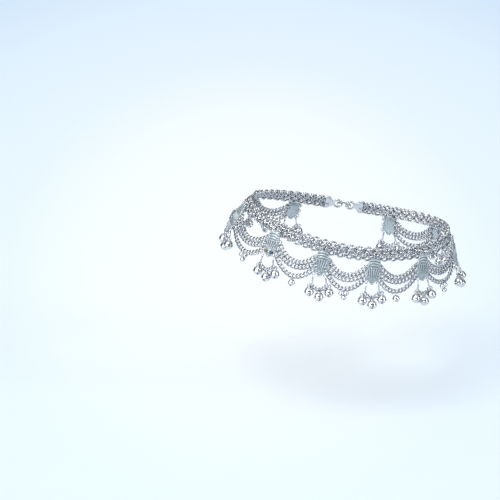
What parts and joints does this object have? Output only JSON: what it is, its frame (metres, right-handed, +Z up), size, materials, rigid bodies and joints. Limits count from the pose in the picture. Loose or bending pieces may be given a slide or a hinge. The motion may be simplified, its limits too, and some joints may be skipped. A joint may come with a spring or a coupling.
{
  "type": "payal anklet",
  "caption": "Silver payal anklet in its worn form: a woven band closed by a hook, with embossed plaques, swagged chains, ball drops and clusters of small round bells.",
  "frame": {"origin": "the middle of the band's loop, where the ankle passes through it", "axes": "+Z up along the leg; +X towards the heel; -Y the side of the ankle that faces outward; the clasp is on +Y"},
  "size_m": [0.1218, 0.0812, 0.0451],
  "materials": {
    "band_silver": "polished woven silver with grey in its recesses",
    "clasp_silver": "polished silver wire",
    "plaque_silver": "matt embossed silver, oxidised in its recesses",
    "chain_silver": "polished silver links",
    "bell_silver": "bright polished silver"
  },
  "bodies": {
    "root": {"band": "band_silver", "clasp": "clasp_silver", "plaque_01": "plaque_silver", "plaque_02": "plaque_silver", "plaque_03": "plaque_silver", "plaque_04": "plaque_silver", "plaque_05": "plaque_silver", "plaque_06": "plaque_silver", "plaque_07": "plaque_silver", "plaque_08": "plaque_silver", "plaque_09": "plaque_silver", "plaque_10": "plaque_silver", "swag_upper_01": "chain_silver", "swag_lower_01": "chain_silver", "swag_upper_02": "chain_silver", "swag_lower_02": "chain_silver", "swag_upper_03": "chain_silver", "swag_lower_03": "chain_silver", "swag_upper_04": "chain_silver", "swag_lower_04": "chain_silver", "swag_upper_05": "chain_silver", "swag_lower_05": "chain_silver", "swag_upper_06": "chain_silver", "swag_lower_06": "chain_silver", "swag_upper_07": "chain_silver", "swag_lower_07": "chain_silver", "swag_upper_08": "chain_silver", "swag_lower_08": "chain_silver", "swag_upper_09": "chain_silver", "swag_lower_09": "chain_silver", "bell_01_left": "bell_silver", "bell_01_middle": "bell_silver", "bell_01_right": "bell_silver", "bell_02_left": "bell_silver", "bell_02_middle": "bell_silver", "bell_02_right": "bell_silver", "bell_03_left": "bell_silver", "bell_03_middle": "bell_silver", "bell_03_right": "bell_silver", "bell_04_left": "bell_silver", "bell_04_middle": "bell_silver", "bell_04_right": "bell_silver", "bell_05_left": "bell_silver", "bell_05_middle": "bell_silver", "bell_05_right": "bell_silver", "bell_06_left": "bell_silver", "bell_06_middle": "bell_silver", "bell_06_right": "bell_silver", "bell_07_left": "bell_silver", "bell_07_middle": "bell_silver", "bell_07_right": "bell_silver", "bell_08_left": "bell_silver", "bell_08_middle": "bell_silver", "bell_08_right": "bell_silver", "bell_09_left": "bell_silver", "bell_09_middle": "bell_silver", "bell_09_right": "bell_silver", "bell_10_left": "bell_silver", "bell_10_middle": "bell_silver", "bell_10_right": "bell_silver"}
  },
  "joints": []
}
